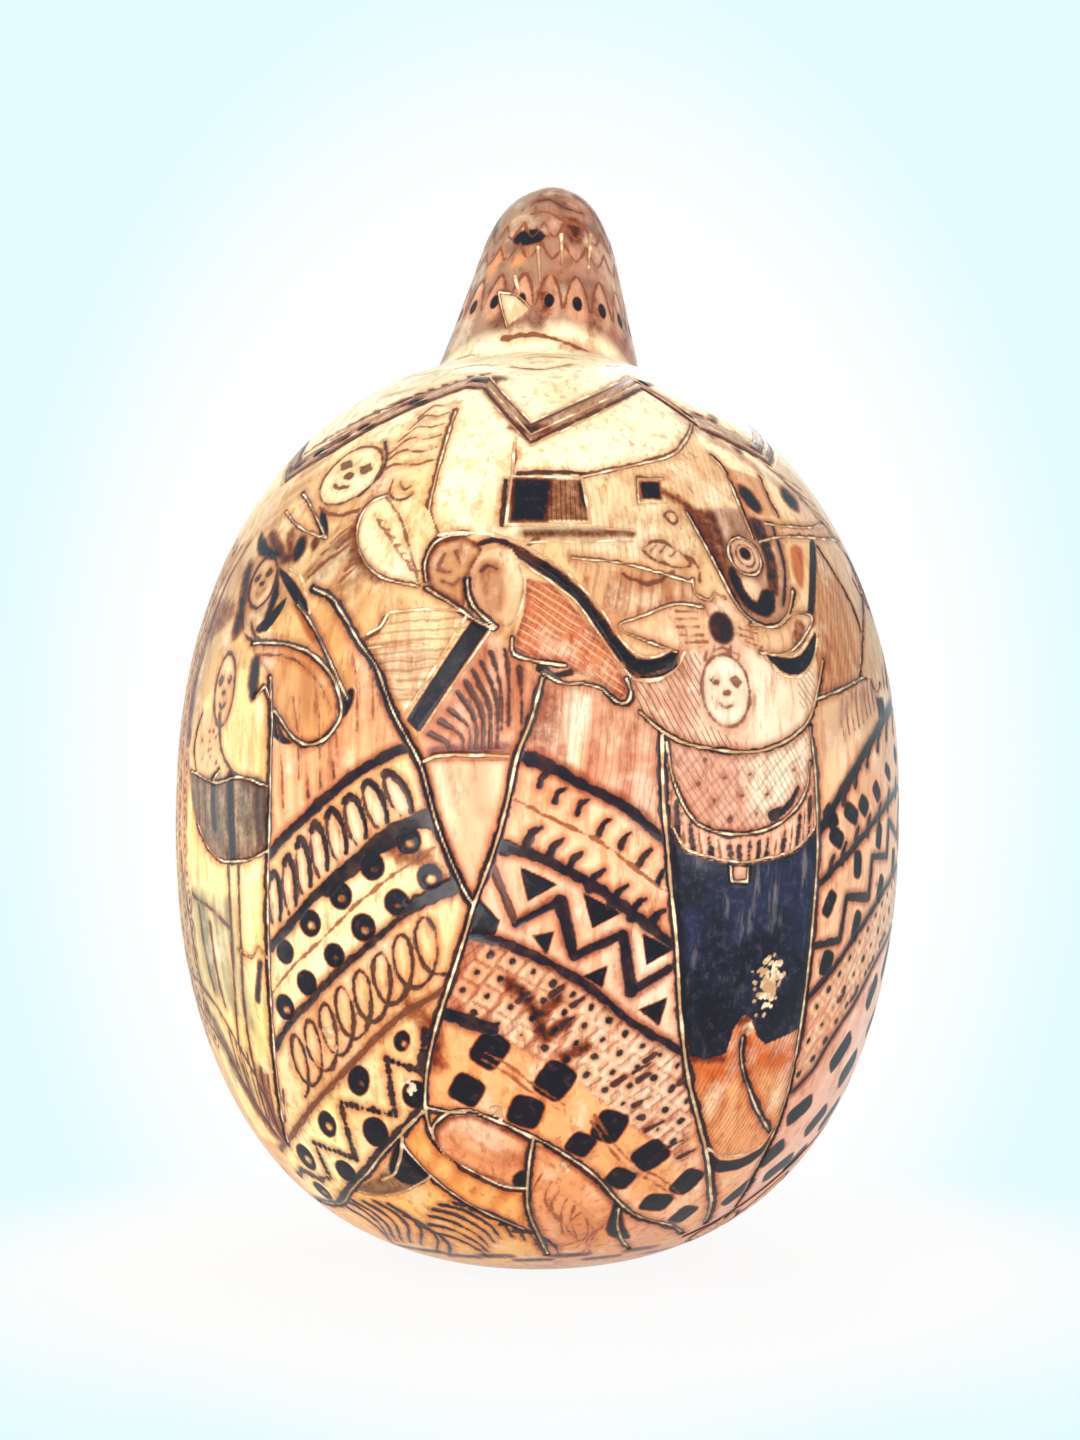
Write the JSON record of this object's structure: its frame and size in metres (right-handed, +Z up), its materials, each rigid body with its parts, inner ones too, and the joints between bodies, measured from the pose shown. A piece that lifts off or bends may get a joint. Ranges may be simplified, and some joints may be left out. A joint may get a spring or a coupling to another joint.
{
  "type": "carved gourd ornament",
  "caption": "Whole dried bottle gourd with a short leaning neck, its rind carved and burnt with figures and textile bands, and loose seeds that rattle inside.",
  "frame": {"origin": "the middle of the flat foot, on the surface that the gourd stands on", "axes": "+Z up along the belly's axis, -Y out of the carved front, +X to the right as seen from the front; the neck leans to +X and +Y"},
  "size_m": [0.092, 0.092, 0.1394],
  "materials": {
    "carved_rind": "varnished gourd rind, carved with a burin and shaded with fire",
    "stem_wood": "dry woody stem, matte",
    "dry_pulp": "papery dried pulp, matte",
    "seed_coat": "dry seed coat, satin"
  },
  "bodies": {
    "gourd": {"rind": "carved_rind", "stem_stub": "stem_wood", "neck_pith": "dry_pulp", "pith_strip_1": "dry_pulp", "pith_strip_2": "dry_pulp", "pith_strip_3": "dry_pulp", "clinging_seed_01": "seed_coat", "clinging_seed_02": "seed_coat", "clinging_seed_03": "seed_coat", "clinging_seed_04": "seed_coat", "clinging_seed_05": "seed_coat", "clinging_seed_06": "seed_coat", "clinging_seed_07": "seed_coat", "clinging_seed_08": "seed_coat", "clinging_seed_09": "seed_coat", "clinging_seed_10": "seed_coat", "clinging_seed_11": "seed_coat", "clinging_seed_12": "seed_coat"},
    "loose_seeds": {"loose_seed_01": "seed_coat", "loose_seed_02": "seed_coat", "loose_seed_03": "seed_coat", "loose_seed_04": "seed_coat", "loose_seed_05": "seed_coat", "loose_seed_06": "seed_coat", "loose_seed_07": "seed_coat", "loose_seed_08": "seed_coat", "loose_seed_09": "seed_coat", "loose_seed_10": "seed_coat", "loose_seed_11": "seed_coat", "loose_seed_12": "seed_coat"}
  },
  "joints": [
    {"name": "seed_rattle", "type": "slide", "parent": "gourd", "child": "loose_seeds", "axis": [0, 0, 1], "range_m": [0, 0.03]}
  ]
}
